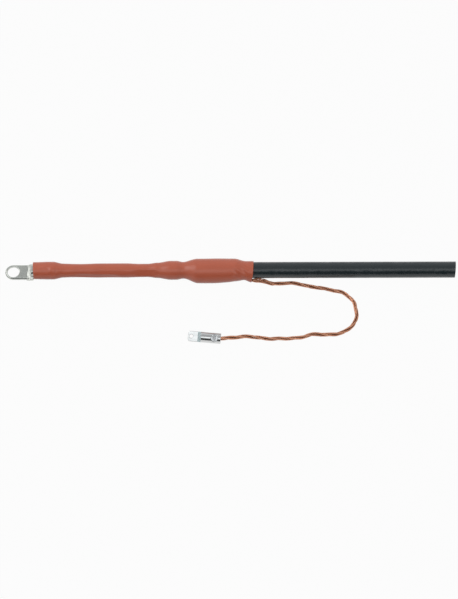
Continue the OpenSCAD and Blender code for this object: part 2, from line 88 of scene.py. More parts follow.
def soft_lamp(name, place, wide, high, watts, colour):
    """A rectangular lamp that faces the object and isn't seen itself."""
    data = bpy.data.lights.new(name, "AREA")
    data.shape = "RECTANGLE"
    data.size, data.size_y = wide, high
    data.energy = watts
    data.color = colour
    lamp = placed(name, data)
    lamp.location = place
    lamp.rotation_euler = (target - Vector(place)).to_track_quat("-Z", "Y").to_euler()
    lamp.visible_camera = False


soft_lamp("high_front", place=(0.45, -0.86, 1.66), wide=3.5, high=0.74, watts=7.0, colour=(0.94, 0.985, 1))
soft_lamp("left_side", place=(-1.20, 0.27, 2.10), wide=1.95, high=1.2, watts=15, colour=(1, 1, 1))


def with_inputs(made, values):
    """A node with plain values on its inputs, named with _ for a space."""
    for name, value in values.items():
        made.inputs[name.replace("_", " ")].default_value = value
    return made


def add_node(tree, kind, **values):
    """A new node in a tree, with the values of its inputs."""
    return with_inputs(tree.nodes.new(kind), values)


def join(tree, *pairs):
    """Links each pair of an output and the input that it feeds."""
    for output, socket in pairs:
        tree.links.new(output, socket)


def feed(tree, value, socket):
    """Links a socket to another one, or sets it to a plain value."""
    if isinstance(value, bpy.types.NodeSocket):
        tree.links.new(value, socket)
    else:
        socket.default_value = value


def combined(tree, operation, *values):
    """Values put together by a Math node."""
    made = tree.nodes.new("ShaderNodeMath")
    made.operation = operation
    for value, socket in zip(values, made.inputs):
        feed(tree, value, socket)
    return made.outputs[0]


def faded(tree, value, start, end):
    """A value that runs smoothly from 0 at start to 1 at end."""
    made = add_node(tree, "ShaderNodeMapRange", From_Min=start, From_Max=end)
    made.interpolation_type = "SMOOTHSTEP"
    tree.links.new(value, made.inputs["Value"])
    return made.outputs["Result"]


room_light, room_shade, room_behind = 0.53, 0.06, 0.25
world = bpy.data.worlds.new("studio")
world.use_nodes = True
room = world.node_tree
room_way = add_node(room, "ShaderNodeSeparateXYZ")
room.links.new(add_node(room, "ShaderNodeTexCoord").outputs["Generated"], room_way.inputs[0])
room_x, room_y, room_z = room_way.outputs
in_front = faded(room, room_y, -0.15, -0.65)
in_middle = faded(room, combined(room, "ABSOLUTE", room_x), 0.70, 0.40)
low_down = faded(room, room_z, 0.76, 0.56)
room_dark = add_node(room, "ShaderNodeMapRange", To_Min=room_light, To_Max=room_shade)
room.links.new(combined(room, "MULTIPLY", combined(room, "MULTIPLY", in_front, in_middle), low_down),
               room_dark.inputs["Value"])
room_level = combined(room, "MULTIPLY_ADD", faded(room, room_y, 0.35, 0.80), room_behind,
                      room_dark.outputs["Result"])
backdrop = room.nodes["Background"]
backdrop.inputs["Color"].default_value = (0.97, 0.98, 1, 1)
room.links.new(room_level, backdrop.inputs["Strength"])
bpy.context.scene.world = world

table_half, table_grey, table_glow = 4.0, 0.38, 0.96
table_corners = [(sx * table_half, sy * table_half, floor_z)
                 for sx, sy in ((-1, -1), (1, -1), (1, 1), (-1, 1))]
table_mesh = bpy.data.meshes.new("table_top")
table_mesh.from_pydata(table_corners, [], [(0, 1, 2, 3)])
table_top = placed("table_top", table_mesh)
table_paint = bpy.data.materials.new("table_white")
table_paint.use_nodes = True
tree = table_paint.node_tree
tree.nodes.clear()
paper = add_node(tree, "ShaderNodeBsdfDiffuse", Color=(table_grey, table_grey, table_grey, 1))
glow = add_node(tree, "ShaderNodeEmission", Color=(1, 1, 1, 1), Strength=1.0)
rays = add_node(tree, "ShaderNodeLightPath").outputs
seen = combined(tree, "MAXIMUM", rays["Is Camera Ray"], rays["Is Glossy Ray"])
seen = combined(tree, "MAXIMUM", seen, rays["Is Transmission Ray"])
surface = add_node(tree, "ShaderNodeMixShader")
join(tree,
     (combined(tree, "MULTIPLY", seen, table_glow), surface.inputs[0]),
     (paper.outputs[0], surface.inputs[1]),
     (glow.outputs[0], surface.inputs[2]),
     (surface.outputs[0], add_node(tree, "ShaderNodeOutputMaterial").inputs[0]))
table_mesh.materials.append(table_paint)


# Cable core: an aluminium conductor of seven compacted strands, with two thin black screens and
# milky insulation extruded over it and a tape wound on. All end in one saw cut, a little off square.
cable_end = 628.05
saw_slope = math.tan(math.radians(4))
strand_start, conductor_r = 34.1, 3.5
core_r, core_share = conductor_r / 3, 0.97
strand_outer_half, strand_inner_half = 29.3, 28.3
strand_gap, strand_dip = 0.03, 0.12
conductor_screen_in, conductor_screen_r = 3.53, 4.0
insulation_start, insulation_r, insulation_chamfer = 67, 7.4, 1
screen_edge, insulation_screen_r = 223, 7.9
bedding_start, bedding_r = 245, 8.15


def on_cable(x, r, side):
    """Point in mm at a radius and a side of the cable, the side in degrees from +Y towards +Z."""
    a = math.radians(side)
    return (x, r * math.cos(a), axis_z + r * math.sin(a))


def sawn(point):
    """The point moved along the cable to the saw cut."""
    return (cable_end + point[1] * saw_slope, point[1], point[2])


def smooth_piece(name, mesh, sharp):
    """A mesh as a piece on the one body, smooth but for edges sharper than an angle."""
    mesh.shade_smooth()
    mesh.set_sharp_from_angle(angle=math.radians(sharp))
    made = placed(name, mesh)
    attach(made, "root")
    return made


def piece_from(name, points, faces, finish, sharp=35):
    """A piece of one material, from points in mm and the faces between them."""
    mesh = bpy.data.meshes.new(name)
    mesh.from_pydata([Vector(p) * MM for p in points], [], faces)
    mesh.update()
    mesh.materials.append(finish)
    return smooth_piece(name, mesh, sharp)


def loop_faces(rings, n, closed):
    """Quads between rings of n points each, and back to the first ring if the row is closed."""
    faces = []
    for i in range(rings if closed else rings - 1):
        a, b = i * n, (i + 1) % rings * n
        faces += [(a + k, b + k, b + (k + 1) % n, a + (k + 1) % n) for k in range(n)]
    return faces


def layer_piece(name, node, profile, finish, sides=128):
    """A layer from its [x, radius] profile, run round from the bore's start; x None is the saw cut."""
    points = []
    for x, r in profile:
        for k in range(sides):
            p = on_cable(x or 0, r, 360 * k / sides)
            points.append(sawn(p) if x is None else p)
    made = piece_from(name, points, loop_faces(len(profile), sides, True), finish)
    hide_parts(node)
    return made


def plain_layer(name, node, start, in_r, out_r, finish):
    """A layer that is as thick all along, from a square end to the saw cut."""
    return layer_piece(name, node, [(start, in_r), (start, out_r), (None, out_r), (None, in_r)], finish)


def new_tree(name, purpose, inputs, outputs):
    """A node tree with named inputs and outputs, each of its kind, and the tree's two ends."""
    tree = bpy.data.node_groups.new(name, purpose + "NodeTree")
    for way, sockets in (("INPUT", inputs), ("OUTPUT", outputs)):
        for label, kind in sockets.items():
            tree.interface.new_socket(label, in_out=way, socket_type="NodeSocket" + kind)
    return tree, tree.nodes.new("NodeGroupInput").outputs, tree.nodes.new("NodeGroupOutput").inputs


def finished(name, group, bump, **values):
    """A material with its tone, roughness and relief, in metres, from a group, and its shader's inputs."""
    made = bpy.data.materials.new(name)
    made.use_nodes = True
    tree = made.node_tree
    shader = tree.nodes["Principled BSDF"].inputs
    skin = tree.nodes.new("ShaderNodeGroup")
    skin.node_tree = group
    skin = with_inputs(skin, values).outputs
    relief = add_node(tree, "ShaderNodeBump", Strength=1.0, Distance=bump)
    join(tree,
         (skin["Color"], shader["Base Color"]),
         (skin["Roughness"], shader["Roughness"]),
         (skin["Height"], relief.inputs["Height"]),
         (relief.outputs["Normal"], shader["Normal"]))
    return made, shader


def mixed(tree, kind, mask, first, second):
    """A colour (RGBA) or a number (FLOAT) that runs from the first to the second as a mask goes to 1."""
    made = tree.nodes.new("ShaderNodeMix")
    made.data_type = kind
    from_socket, to_socket, result = {"RGBA": (6, 7, 2), "FLOAT": (2, 3, 0)}[kind]
    tree.links.new(mask, made.inputs[0])
    feed(tree, first, made.inputs[from_socket])
    feed(tree, second, made.inputs[to_socket])
    return made.outputs[result]


def own_place(tree):
    """The place of a point on a piece, in metres."""
    return tree.nodes.new("ShaderNodeTexCoord").outputs["Object"]


# Skin of an extruded or wrapped polymer: cloudy tone, fine pits, and roughness that follows the clouds
polymer_skin, skin_in, skin_out = new_tree(
    "polymer_skin", "Shader",
    {"Tone": "Color", "Cloud Tone": "Color", "Cloud Scale": "Float", "Pit Scale": "Float",
     "Pit Depth": "Float", "Smooth": "Float", "Rough": "Float"},
    {"Color": "Color", "Roughness": "Float", "Height": "Float"})
skin_place = own_place(polymer_skin)
skin_clouds = add_node(polymer_skin, "ShaderNodeTexNoise", Detail=4.0, Roughness=0.6)
skin_pits = add_node(polymer_skin, "ShaderNodeTexNoise", Detail=2.0, Roughness=0.5)
skin_rough = add_node(polymer_skin, "ShaderNodeMapRange", From_Min=0.3, From_Max=0.7)
cloudy, pitted = skin_clouds.outputs["Fac"], skin_pits.outputs["Fac"]
join(polymer_skin,
     (skin_place, skin_clouds.inputs["Vector"]),
     (skin_place, skin_pits.inputs["Vector"]),
     (skin_in["Cloud Scale"], skin_clouds.inputs["Scale"]),
     (skin_in["Pit Scale"], skin_pits.inputs["Scale"]),
     (cloudy, skin_rough.inputs["Value"]),
     (skin_in["Smooth"], skin_rough.inputs["To Min"]),
     (skin_in["Rough"], skin_rough.inputs["To Max"]),
     (mixed(polymer_skin, "RGBA", cloudy, skin_in["Tone"], skin_in["Cloud Tone"]), skin_out["Color"]),
     (skin_rough.outputs["Result"], skin_out["Roughness"]),
     (combined(polymer_skin, "MULTIPLY_ADD", pitted, skin_in["Pit Depth"], cloudy), skin_out["Height"]))


def polymer(name, tone, cloud_tone, smooth, rough, bump=0.00005, cloud=60.0, pit=900.0, pit_depth=0.25,
            gloss=0.5):
    """A polymer's material: two tones, its smoothest and roughest places, and its relief in metres."""
    made, shader = finished(name, polymer_skin, bump, Tone=(*tone, 1), Cloud_Tone=(*cloud_tone, 1),
                            Cloud_Scale=cloud, Pit_Scale=pit, Pit_Depth=pit_depth, Smooth=smooth, Rough=rough)
    shader["Specular IOR Level"].default_value = gloss
    return made


def vectors(tree, operation, *values, scale=None):
    """Vectors put together by a Vector Math node: its outputs, Vector and Value."""
    made = tree.nodes.new("ShaderNodeVectorMath")
    made.operation = operation
    for value, socket in zip(values, made.inputs):
        feed(tree, value, socket)
    if scale is not None:
        tree.links.new(scale, made.inputs["Scale"])
    return made.outputs


# Worked metal: bright and dull patches drawn out along X, with fine draw lines in the relief
worked_metal, metal_in, metal_out = new_tree(
    "worked_metal", "Shader",
    {"Bright": "Color", "Dull": "Color", "Patch Scale": "Float", "Draw": "Float",
     "Polish": "Float", "Tarnish": "Float"},
    {"Color": "Color", "Roughness": "Float", "Height": "Float"})
metal_stretch = add_node(worked_metal, "ShaderNodeCombineXYZ", Y=1.0, Z=1.0)
metal_drawn = vectors(worked_metal, "MULTIPLY", own_place(worked_metal), metal_stretch.outputs[0])["Vector"]
metal_patches = add_node(worked_metal, "ShaderNodeTexNoise", Detail=5.0, Roughness=0.55)
metal_lines = add_node(worked_metal, "ShaderNodeTexNoise", Scale=2400.0, Detail=1.0)
metal_rough = worked_metal.nodes.new("ShaderNodeMapRange")
patchy = faded(worked_metal, metal_patches.outputs["Fac"], 0.35, 0.65)
join(worked_metal,
     (metal_in["Draw"], metal_stretch.inputs["X"]),
     (metal_drawn, metal_patches.inputs["Vector"]),
     (metal_drawn, metal_lines.inputs["Vector"]),
     (metal_in["Patch Scale"], metal_patches.inputs["Scale"]),
     (patchy, metal_rough.inputs["Value"]),
     (metal_in["Polish"], metal_rough.inputs["To Min"]),
     (metal_in["Tarnish"], metal_rough.inputs["To Max"]),
     (mixed(worked_metal, "RGBA", patchy, metal_in["Bright"], metal_in["Dull"]), metal_out["Color"]),
     (metal_rough.outputs["Result"], metal_out["Roughness"]),
     (metal_lines.outputs["Fac"], metal_out["Height"]))


def metal(name, bright, dull, polish, tarnish, patch=120.0, draw=0.15, bump=0.00001):
    """A metal's material: two tones, its brightest and dullest roughness, and its relief in metres."""
    made, shader = finished(name, worked_metal, bump, Bright=(*bright, 1), Dull=(*dull, 1),
                            Patch_Scale=patch, Draw=draw, Polish=polish, Tarnish=tarnish)
    shader["Metallic"].default_value = 1.0
    return made


def polar(r, degrees):
    """A point across the cable, at a radius and an angle."""
    a = math.radians(degrees)
    return (r * math.cos(a), r * math.sin(a))


strand_outlines = [[polar(core_r * core_share, 360 * k / 24) for k in range(24)]]
strand_width = np.linspace(-1, 1, 9)
for strand in range(6):
    outline = [polar(conductor_r - strand_dip * abs(s) ** 6, 60 * strand + strand_outer_half * s)
               for s in strand_width]
    outline += [polar(core_r + strand_gap, 60 * strand + strand_inner_half * s)
                for s in strand_width[::-1]]
    strand_outlines.append(outline)
strand_points, strand_faces = [], []
for outline in strand_outlines:
    n, base = len(outline), len(strand_points)
    strand_points += [(strand_start, y, axis_z + z) for y, z in outline]
    strand_points += [sawn((0, y, axis_z + z)) for y, z in outline]
    strand_faces += [(base + k, base + (k + 1) % n, base + n + (k + 1) % n, base + n + k) for k in range(n)]
    strand_faces += [tuple(base + k for k in range(n))[::-1], tuple(base + n + k for k in range(n))]
sawn_aluminium = metal("sawn_aluminium", (0.72, 0.72, 0.74), (0.55, 0.55, 0.57), polish=0.25, tarnish=0.45)
strands = piece_from("strands", strand_points, strand_faces, sawn_aluminium)
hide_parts("conductor_strands")

semicon = polymer("semicon_black", (0.012, 0.012, 0.014), (0.02, 0.02, 0.022), smooth=0.55, rough=0.75)
milky = polymer("milky_insulation", (0.83, 0.81, 0.74), (0.78, 0.75, 0.66), smooth=0.3, rough=0.45)
milky.node_tree.nodes["Principled BSDF"].inputs["Subsurface Weight"].default_value = 0.2
bedding_grey = polymer("bedding_tape_grey", (0.06, 0.06, 0.065), (0.09, 0.09, 0.09), smooth=0.8, rough=0.95)
inner_screen = plain_layer("inner_screen", "conductor_screen", insulation_start, conductor_screen_in,
                           conductor_screen_r, semicon)
insulation = layer_piece("insulation", "xlpe_insulation",
                         [(insulation_start, conductor_screen_r),
                          (insulation_start, insulation_r - insulation_chamfer),
                          (insulation_start + insulation_chamfer, insulation_r),
                          (None, insulation_r), (None, conductor_screen_r)], milky)
outer_screen = plain_layer("outer_screen", "insulation_screen", screen_edge, insulation_r,
                           insulation_screen_r, semicon)
bedding = plain_layer("bedding", "bedding_tape", bedding_start, insulation_screen_r, bedding_r, bedding_grey)


# Screen: twenty copper wires laid round the core. At the sheath's edge each is folded back over
# it and led round to the side where the lead leaves. A copper tape holds them under the sheath.
wire_count, wire_d, wire_sides = 20, 1.0, 8
wire_ring_r, wire_over_r = 8.7, 12.89
fold_x, wires_turn_x, wires_end_x = 254, 263.85, 331.05
lead_side, wire_end_pitch = 205, 4.8
sheath_start = 256
separator_in, separator_r = 9.49, 9.67

copper = metal("bare_copper", (0.70, 0.34, 0.21), (0.44, 0.19, 0.11), polish=0.25, tarnish=0.45,
               patch=260.0, draw=0.3)


def drawn_wire_tree():
    """Geometry Nodes: a round wire of the given diameter along every spline of a curve."""
    tree, given, result = new_tree(
        "drawn_wire", "Geometry",
        {"Curve": "Geometry", "Wire Diameter": "Float", "Sides": "Int", "Metal": "Material"},
        {"Mesh": "Geometry"})
    rim = tree.nodes.new("GeometryNodeCurvePrimitiveCircle")
    sweep = add_node(tree, "GeometryNodeCurveToMesh", Fill_Caps=True)
    realize = tree.nodes.new("GeometryNodeRealizeInstances")
    paint = tree.nodes.new("GeometryNodeSetMaterial")
    join(tree,
         (combined(tree, "MULTIPLY", given["Wire Diameter"], 0.5), rim.inputs["Radius"]),
         (given["Sides"], rim.inputs["Resolution"]),
         (given["Curve"], sweep.inputs["Curve"]),
         (rim.outputs["Curve"], sweep.inputs["Profile Curve"]),
         (sweep.outputs["Mesh"], realize.inputs["Geometry"]),
         (realize.outputs["Geometry"], paint.inputs["Geometry"]),
         (given["Metal"], paint.inputs["Material"]),
         (paint.outputs["Geometry"], result["Mesh"]))
    return tree


def curve_through(name, runs):
    """A curve object with one open poly spline through each run of points in mm."""
    data = bpy.data.curves.new(name, "CURVE")
    data.dimensions = "3D"
    for run in runs:
        spline = data.splines.new("POLY")
        spline.points.add(len(run) - 1)
        for point, place in zip(spline.points, run):
            point.co = (*(Vector(place) * MM), 1)
    return placed(name, data)


def grown(source, tree, name, **inputs):
    """The plain mesh that a tree grows on a curve, as a piece on the one body."""
    modifier = source.modifiers.new("grow", "NODES")
    modifier.node_group = tree
    sockets = {s.name: s.identifier for s in tree.interface.items_tree if s.in_out == "INPUT"}
    for label, value in inputs.items():
        modifier[sockets[label.replace("_", " ")]] = value
    depsgraph = bpy.context.evaluated_depsgraph_get()
    depsgraph.update()
    mesh = bpy.data.meshes.new_from_object(source.evaluated_get(depsgraph))
    mesh.name = name
    bpy.data.objects.remove(source)
    return smooth_piece(name, mesh, sharp=60)


def refinish(node, finish):
    """Gives one of the frame's own solids a better material."""
    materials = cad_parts[node].data.materials
    materials.clear()
    materials.append(finish)


drawn_wire = drawn_wire_tree()
fold_r, fold_mid = (wire_over_r - wire_ring_r) / 2, (wire_over_r + wire_ring_r) / 2
runs = []
for i in range(wire_count):
    away = -180 + (i + 0.5) * 360 / wire_count
    end_away = away * wire_end_pitch * wire_count / 360
    run = [sawn(on_cable(0, wire_ring_r, lead_side + away))]
    for turn in range(0, 181, 15):
        a = math.radians(180 - turn)
        run.append(on_cable(fold_x - fold_r * math.sin(a), fold_mid + fold_r * math.cos(a), lead_side + away))
    run.append(on_cable(wires_turn_x, wire_over_r, lead_side + away))
    for t in np.linspace(0, 1, 19)[1:]:
        x = wires_turn_x + (wires_end_x - wires_turn_x) * t
        run.append(on_cable(x, wire_over_r, lead_side + away + (end_away - away) * t))
    runs.append(run)
folded_wires = grown(curve_through("wire_runs", runs), drawn_wire, "folded_wires",
                     Wire_Diameter=wire_d * MM, Sides=wire_sides, Metal=copper)
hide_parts("screen_wires")
refinish("counter_helix", copper)
tape_white = polymer("separator_tape_white", (0.66, 0.65, 0.6), (0.6, 0.58, 0.52), smooth=0.5, rough=0.7)
separator = plain_layer("separator", "separator_tape", sheath_start, separator_in, separator_r, tape_white)


# Sheath: black polyethylene extruded over the tape, roughened where the tube sits and sawn off
# at the far end. Its skin has a satin gloss and is faintly wavy.
sheath_r, rough_r, rough_end, rough_edge = 11.52, 11.27, 341.7, 0.05
first_ring, last_ring, ring_step = 346, 626, 6
sheath_rings = [(sheath_start, separator_r), (sheath_start, rough_r), (rough_end, rough_r),
                (rough_end + rough_edge, sheath_r)]
sheath_rings += [(x, sheath_r) for x in range(first_ring, last_ring, ring_step)]
sheath_rings += [(None, sheath_r), (None, separator_r)]
sheath_black = polymer("sheath_black", (0.0150, 0.0250, 0.0285), (0.0102, 0.0178, 0.0205), smooth=0.20,
                       rough=0.36, bump=0.0014, cloud=45.0, pit_depth=0.004, gloss=0.62)
sheath = layer_piece("sheath", "outer_sheath", sheath_rings, sheath_black)


# Terminal lug: an aluminium tube, tinned all over, pressed flat at one end for the palm, drilled for
# an M16 bolt and crimped on the conductor with a hexagonal die. The press left its edges soft, and
# behind the palm a raised step with sloping wings, which stays dull.
palm_r, palm_t, palm_end, hole_r = 11, 4.5, 24, 8.5
palm_round, palm_bevel, palm_tip = 0.8, 1.2, 0.6
step_start, step_end, step_rise = 20.9, 23.8, 1.05
wing_far, wing_near, wing_end, wing_corner = 21.2, 18.6, 29, 1.6
wing_half, wing_crown, wing_fall = 12.25, 6.5, 0.36
ramp_below, ramp_rise = 0.6, 1.2
wall_start, wall_end, wall_rise = step_end + 0.7, step_end + 2.5, 10.4
barrel_r, barrel_start, lug_end = 7.75, 17, 62
foot_start, foot_end, foot_spread = 24, 31, 0.1
bore_start, bore_r = 34, 3.55
crimp_flat, crimp_half, crimp_places = 6.85, 2.5, (37.5, 46.5, 55.5)
dull_before, dull_fade, wing_dull_before, wing_dull_side = 0.4, 0.2, (1.8, 1.2), (7.9, 8.4)


def blend_min(a, b, soft):
    """The lower of two distances, rounded over where they meet."""
    h = np.clip(0.5 + 0.5 * (b - a) / soft, 0, 1)
    return b + (a - b) * h - soft * h * (1 - h)


def blend_max(a, b, soft):
    """The higher of two distances, rounded in where they meet."""
    return -blend_min(-a, -b, soft)


def corner(a, b, edge):
    """Distance to a corner with a round edge, from the distances to its two sides."""
    a, b = a + edge, b + edge
    return np.hypot(np.maximum(a, 0), np.maximum(b, 0)) + np.minimum(np.maximum(a, b), 0) - edge


def plate(outline, z, middle, half, edge):
    """Distance to a plate with rounded edges, from the distance to its outline."""
    return corner(outline, np.abs(z - middle) - half, edge)


def rise(x, start, end):
    """A smooth step from 0 at start to 1 at end."""
    t = np.clip((x - start) / (end - start), 0, 1)
    return t * t * (3 - 2 * t)


def lug_height(x):
    """Top of the pressed end: just under the step, then a steep wall to the barrel."""
    return (palm_t - ramp_below + ramp_rise * rise(x, step_start, step_end)
            + wall_rise * rise(x, wall_start, wall_end))


def lug_distance(p):
    """Distance to the lug: palm, shoulder and barrel, less the hole, the bore and the crimps."""
    x, y, z = p[..., 0], p[..., 1], p[..., 2]
    side = np.abs(y)
    tip = np.minimum(x, 0) * palm_r / (palm_r + palm_tip)
    rim = np.maximum(np.hypot(tip, y) - palm_r, x - palm_end)
    palm = plate(rim, z, palm_t / 2, palm_t / 2, palm_round)
    palm = blend_max(palm, (rim + z - palm_t + palm_bevel) / math.sqrt(2), soft=0.4)
    wing_ends = np.maximum(np.where(y > 0, wing_far, wing_near) - x, x - wing_end)
    wing_outline = blend_max(side - wing_half, wing_ends, soft=wing_corner)
    wing_mid = (palm_t + step_rise) / 2
    wing = plate(wing_outline, z, wing_mid, wing_mid, palm_round)
    wing_top = palm_t + step_rise * np.minimum((x - step_start) / (step_end - step_start), 1)
    wing = blend_max(wing, z - wing_top + wing_fall * np.maximum(side - wing_crown, 0), soft=0.4)
    ahead = 0.1
    slope = (lug_height(x + ahead) - lug_height(x - ahead)) / (2 * ahead)
    spread = 1 + foot_spread * (1 - rise(x, foot_start, foot_end))
    barrel = np.hypot(y / spread, z - axis_z) - barrel_r
    barrel = blend_max(barrel, (z - lug_height(x)) / np.hypot(1, slope), soft=2.2)
    barrel = np.maximum(np.maximum(barrel, barrel_start - x), x - lug_end)
    body = blend_min(blend_min(palm, wing, soft=0.5), barrel, soft=0.6)
    body = blend_max(body, hole_r - np.hypot(x, y), soft=0.5)
    body = blend_max(body, np.minimum(bore_r - np.hypot(y, z - axis_z), x - bore_start), soft=0.3)
    die = np.max([np.abs(y * math.cos(a) + (z - axis_z) * math.sin(a))
                  for a in np.radians([30, 90, 150])], axis=0) - crimp_flat
    for place in crimp_places:
        body = blend_max(body, np.minimum(crimp_half - np.abs(x - place), die), soft=0.5)
    return body


def formed_piece(name, node, distance, low, high, cell, finish, place=None):
    """A closed mesh where a distance in mm is nought: one point in each cell that the surface crosses,
    pulled onto the surface, with a quad round each crossed edge of the grid."""
    pulls, probe, least_slope = 4, 0.01, 0.2
    low, high = np.array(low, float), np.array(high, float)
    count = np.ceil((high - low) / cell).astype(int) + 1
    lines = [low[i] + cell * np.arange(count[i]) for i in range(3)]
    depth = distance(np.stack(np.meshgrid(*lines, indexing="ij"), -1))
    inside = depth < 0
    corners = [np.array((i, j, k)) for i in (0, 1) for j in (0, 1) for k in (0, 1)]
    held = 0
    for at in corners:
        i, j, k = at + count - 1
        held = held + inside[at[0]:i, at[1]:j, at[2]:k].astype(int)
    crossed = (held > 0) & (held < len(corners))
    cells = np.argwhere(crossed)
    number = np.full(crossed.shape, -1)
    number[crossed] = np.arange(len(cells))
    total, hits = np.zeros((len(cells), 3)), np.zeros(len(cells))
    for a in corners:
        for axis in range(3):
            if a[axis]:
                continue
            b = a.copy()
            b[axis] = 1
            da, db = depth[tuple((cells + a).T)], depth[tuple((cells + b).T)]
            through = (da < 0) != (db < 0)
            t = np.where(through, da / np.where(through, da - db, 1), 0)
            total[through] += (a + (b - a) * t[:, None])[through]
            hits += through
    points = low + cell * (cells + total / hits[:, None])
    for _ in range(pulls):
        here = distance(points)
        slope = np.stack([(distance(points + probe * e) - distance(points - probe * e)) / (2 * probe)
                          for e in np.eye(3)], -1)
        pull = here[:, None] * slope / np.maximum((slope ** 2).sum(1), least_slope)[:, None]
        points -= np.clip(pull, -cell / 3, cell / 3)
    faces = []
    for axis in range(3):
        u, v = np.eye(3, dtype=int)[(axis + 1) % 3], np.eye(3, dtype=int)[(axis + 2) % 3]
        ahead = np.moveaxis(inside, axis, 0)
        at = np.argwhere(np.moveaxis(ahead[1:] != ahead[:-1], 0, axis))
        quad = np.stack([number[tuple((at - w).T)] for w in (0 * u, u, u + v, v)], -1)
        outward = inside[tuple(at.T)]
        faces += np.where(outward[:, None], quad, quad[:, ::-1]).tolist()
    normals = [Vector(n).normalized() for n in slope]
    if place is not None:
        points = [place @ Vector(p) for p in points]
        normals = [place.to_3x3() @ n for n in normals]
    made = piece_from(name, points, faces, finish, sharp=180)
    made.data.normals_split_custom_set_from_vertices(normals)
    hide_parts(node)
    return made


def turned_to(material, mask, tone, rough=None):
    """Turns a metal's tone, and its roughness if one is given, to other values where a mask is 1."""
    tree = material.node_tree
    sockets = tree.nodes["Principled BSDF"].inputs
    was = sockets["Base Color"].links[0].from_socket
    tree.links.new(mixed(tree, "RGBA", mask, was, (*tone, 1)), sockets["Base Color"])
    if rough is not None:
        was = sockets["Roughness"].links[0].from_socket
        tree.links.new(mixed(tree, "FLOAT", mask, was, rough), sockets["Roughness"])


tinned_lug = metal("tinned_lug", (0.64, 0.66, 0.61), (0.48, 0.50, 0.47), polish=0.12, tarnish=0.24,
                   patch=220.0, draw=0.6, bump=0.000002)
tree = tinned_lug.node_tree
lug_place = tree.nodes.new("ShaderNodeSeparateXYZ")
tree.links.new(own_place(tree), lug_place.inputs[0])
lug_x, lug_y = lug_place.outputs[:2]
on_step = combined(tree, "MULTIPLY",
                   faded(tree, lug_x, (step_start - dull_before) * MM, step_start * MM),
                   faded(tree, lug_x, (step_end + dull_fade) * MM, (step_end - dull_fade) * MM))
on_wing = combined(tree, "MULTIPLY",
                   faded(tree, lug_x, *((step_start - before) * MM for before in wing_dull_before)),
                   faded(tree, combined(tree, "ABSOLUTE", lug_y), *(side * MM for side in wing_dull_side)))
turned_to(tinned_lug, combined(tree, "MAXIMUM", on_step, on_wing), tone=(0.69, 0.70, 0.65), rough=0.45)
terminal_lug = formed_piece("pressed_lug", "terminal_lug", lug_distance, low=(-12.6, -13.2, -0.9),
                            high=(62, 13.2, 16.4), cell=0.4, finish=tinned_lug)


# Mastics, stress tube and binding: sealing and stress mastics wrapped on by hand, a black tube shrunk
# over the screen's edge, and tinned wire twisted round the folded wires. They lie under the red tube,
# out of sight but for a ring of mastic at the lug.
mastic = polymer("sealing_mastic_red", (0.21, 0.02, 0.012), (0.16, 0.016, 0.01), smooth=0.35, rough=0.6,
                 bump=0.0001)
for node in ("lug_mastic", "inner_seal", "outer_seal"):
    refinish(node, mastic)
refinish("stress_mastic",
         polymer("stress_mastic_yellow", (0.7, 0.42, 0.03), (0.6, 0.35, 0.02), smooth=0.4, rough=0.6))
refinish("stress_control_tube",
         polymer("stress_tube_black", (0.01, 0.01, 0.011), (0.016, 0.016, 0.017), smooth=0.6, rough=0.8))
refinish("binding_wire",
         metal("binding_tin", (0.6, 0.6, 0.58), (0.45, 0.45, 0.44), polish=0.3, tarnish=0.5))


# Anti-tracking tube: red polymer shrunk with a flame over everything from the lug's barrel to the
# sheath. It is thinner where it is wider, and it shows each step and each bundle of wires below it.
tube_start, tube_end, tube_wall = 29.05, 341.05, 1.9
slip, lug_mastic_t, mastic_steep, mouth_draw = 0.05, 3.5, 0.73, 0.55
stress_start, stress_end = 198, 243
stress_tube_t, stress_build, neck_drop = 1.9, 2.9, 1.5
seal_start, seal_end = 257, 320.05
bulge_r, collar_r = 15.54, 11.57
wire_lobe, band_lobe, lip_flare, lip_draw = 2.3, 2.31, 2.6, 1.8
wire_spread, band_spread, flare_spread, draw_spread = 75, 82, 35, 48
tube_swell, cut_slant, cut_round, cut_bevel = 0.8, 0.6, 0.25, 0.8
tilt_l, draw_l = 21, 24
bared_l = screen_edge - insulation_start
wall_section = (insulation_r + tube_wall) ** 2 - insulation_r ** 2
neck_r = insulation_r + slip + stress_tube_t + stress_build - neck_drop


def seat_r(x):
    """Radius of what the tube sits on, round the whole cable."""
    return (insulation_r + slip
            + (barrel_r + lug_mastic_t - insulation_r)
            * (1 - mastic_steep * rise(x, lug_end - 5.5, insulation_start + 4)
               - (1 - mastic_steep) * rise(x, lug_end - 1, insulation_start + 26))
            - mouth_draw * (1 - rise(x, tube_start, lug_end - 10))
            + stress_tube_t * rise(x, stress_start - 7, stress_start + 7)
            + stress_build * rise(x, stress_start + 7, screen_edge + 1)
            - neck_drop * rise(x, screen_edge + 9, stress_end - 2)
            + (bulge_r - neck_r) * rise(x, sheath_start - 15, sheath_start + 6)
            - (bulge_r - collar_r) * rise(x, seal_end - 6, seal_end + 11))


def lobe(x, away):
    """Extra height on the side of the gathered wires, and the lip over the lead."""
    seal_l = seal_end - seal_start
    return (wire_lobe * rise(x, sheath_start - 10, sheath_start + 8)
            * (1 - rise(x, seal_start + 0.3 * seal_l, seal_end + 4)) * np.exp(-(away / wire_spread) ** 2)
            + band_lobe * rise(x, seal_end - 8, seal_end + 10) * np.exp(-(away / band_spread) ** 4)
            + lip_flare * rise(x, tube_end - 10, tube_end) * np.exp(-(away / flare_spread) ** 2))


